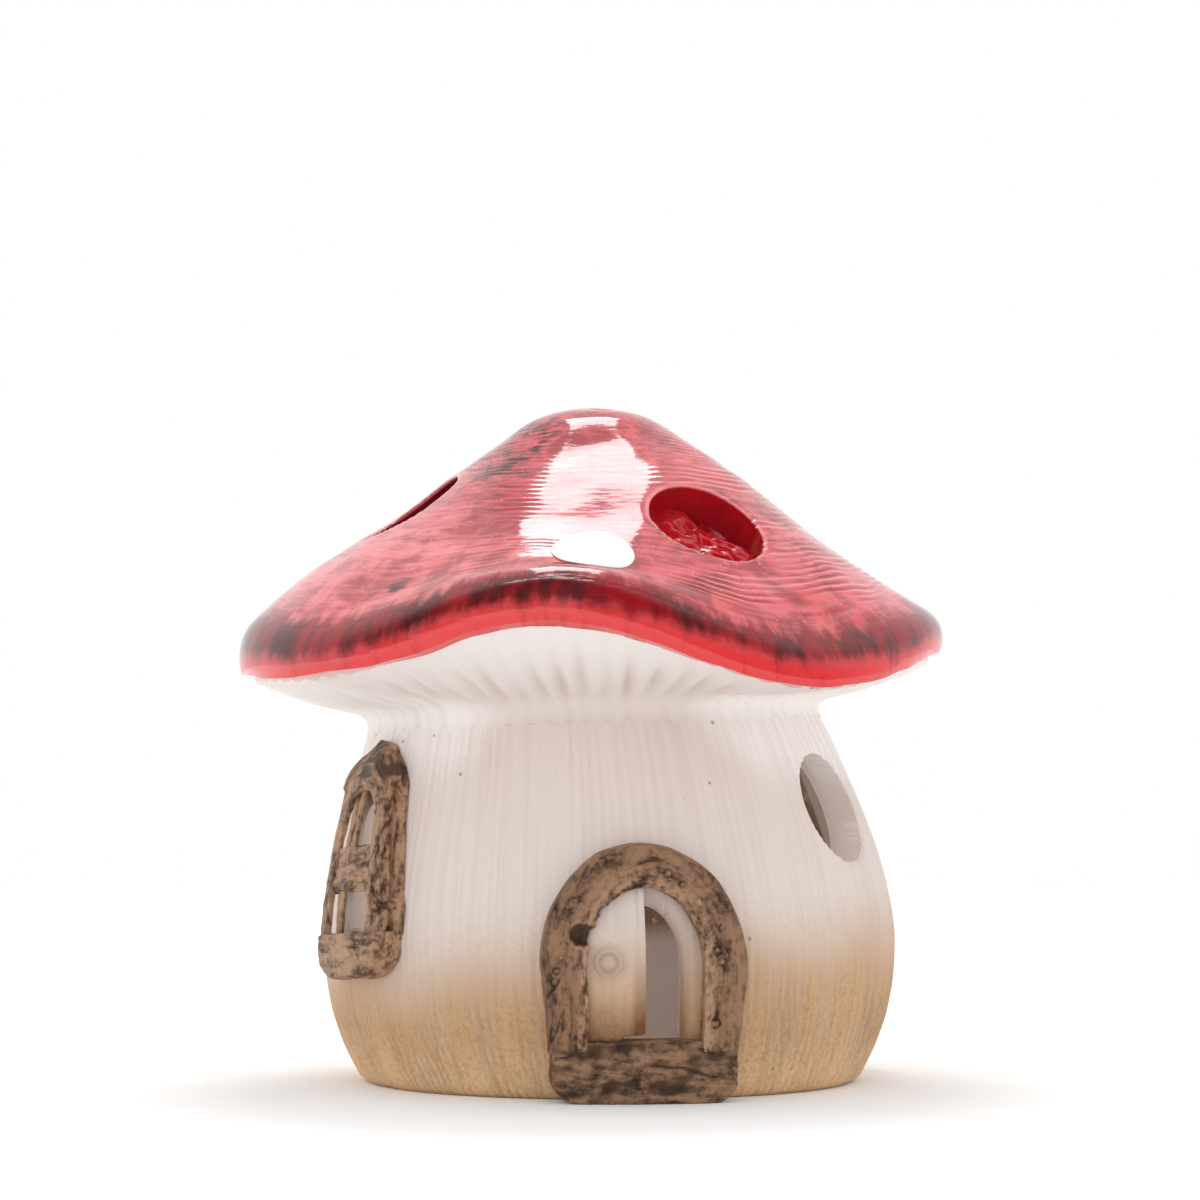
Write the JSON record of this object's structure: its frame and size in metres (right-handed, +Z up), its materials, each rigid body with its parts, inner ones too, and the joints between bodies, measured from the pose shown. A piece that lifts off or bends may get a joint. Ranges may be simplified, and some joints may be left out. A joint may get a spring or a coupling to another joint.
{
  "type": "toadstool house ornament",
  "caption": "Ceramic toadstool house: hollow round stem with a wood-look door and windows under a wavy, pierced red cap with ribbed gills. It stands over a tealight.",
  "frame": {"origin": "on the table, under the middle of the whole ornament", "axes": "+Z up, -Y towards the front, where the door is, +X to the viewer's right"},
  "size_m": [0.1, 0.1, 0.0953],
  "materials": {
    "red_glaze": "glossy red glaze, brushed, darker along the rim",
    "white_glaze": "glossy white glaze",
    "cream_clay": "matte cream clay, sandy brown towards the foot",
    "stained_clay": "wood-look clay with a brown stain"
  },
  "bodies": {
    "root": {"stem_wall": "cream_clay", "gill_plate": "cream_clay", "cap_shell": "red_glaze", "cap_spot_front": "white_glaze", "cap_spot_back": "white_glaze", "door_surround": "stained_clay", "door_threshold": "stained_clay", "door_leaf": "cream_clay", "door_boss": "cream_clay", "left_window_surround": "stained_clay", "left_window_sill": "stained_clay", "left_window_transom": "stained_clay", "left_window_upper_mullion": "stained_clay", "left_window_lower_mullion": "stained_clay", "rear_window_surround": "stained_clay", "rear_window_sill": "stained_clay", "rear_window_transom": "stained_clay", "rear_window_upper_mullion": "stained_clay", "rear_window_lower_mullion": "stained_clay"}
  },
  "joints": []
}
